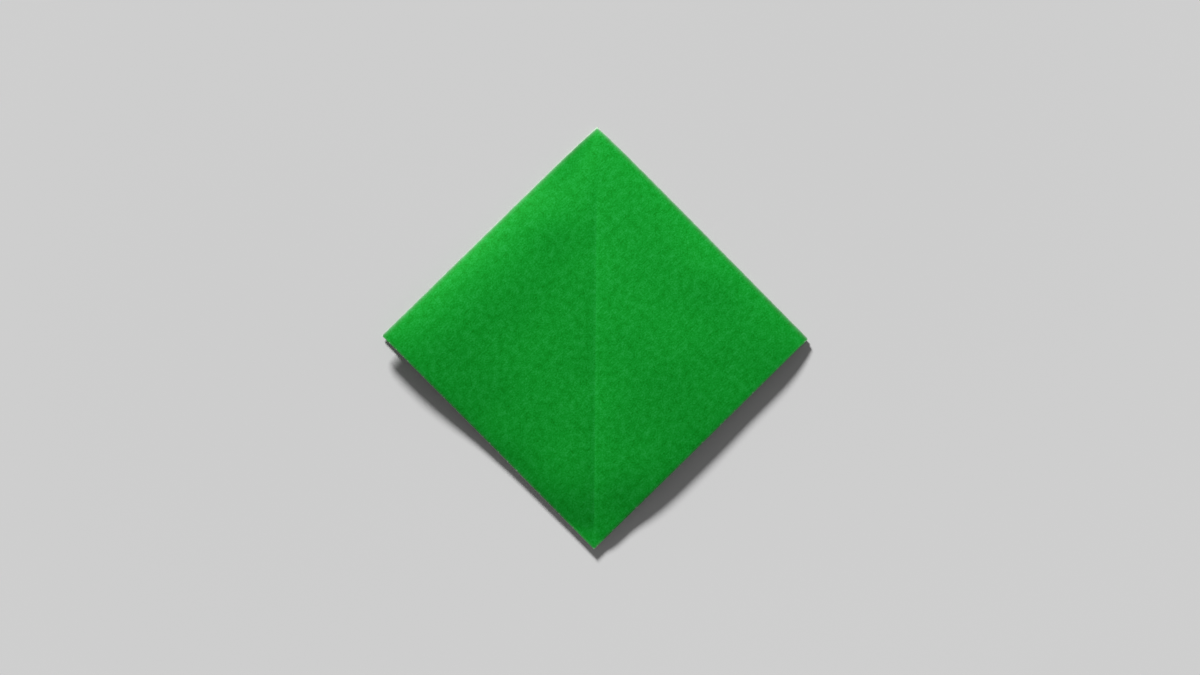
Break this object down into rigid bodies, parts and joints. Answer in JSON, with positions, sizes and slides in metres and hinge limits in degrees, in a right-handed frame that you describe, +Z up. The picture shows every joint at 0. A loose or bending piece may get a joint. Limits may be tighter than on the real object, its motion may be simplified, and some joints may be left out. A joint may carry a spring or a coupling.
{
  "type": "folded paper square base",
  "caption": "Square sheet of green one-side-coloured paper folded into the flat square base, open at one corner, with its springy layers standing slightly apart.",
  "frame": {"origin": "middle of the folded square on the plane that its back flap lies on", "axes": "+Z up off the back flap, +Y towards the closed corner, +X to the right of the diagonal crease seen from above"},
  "size_m": [0.1062, 0.1056, 0.0057],
  "materials": {
    "paper": "matt, coloured on one side, white on the other and at the cut edges"
  },
  "bodies": {
    "root": {"folded_sheet": "paper"}
  },
  "joints": []
}
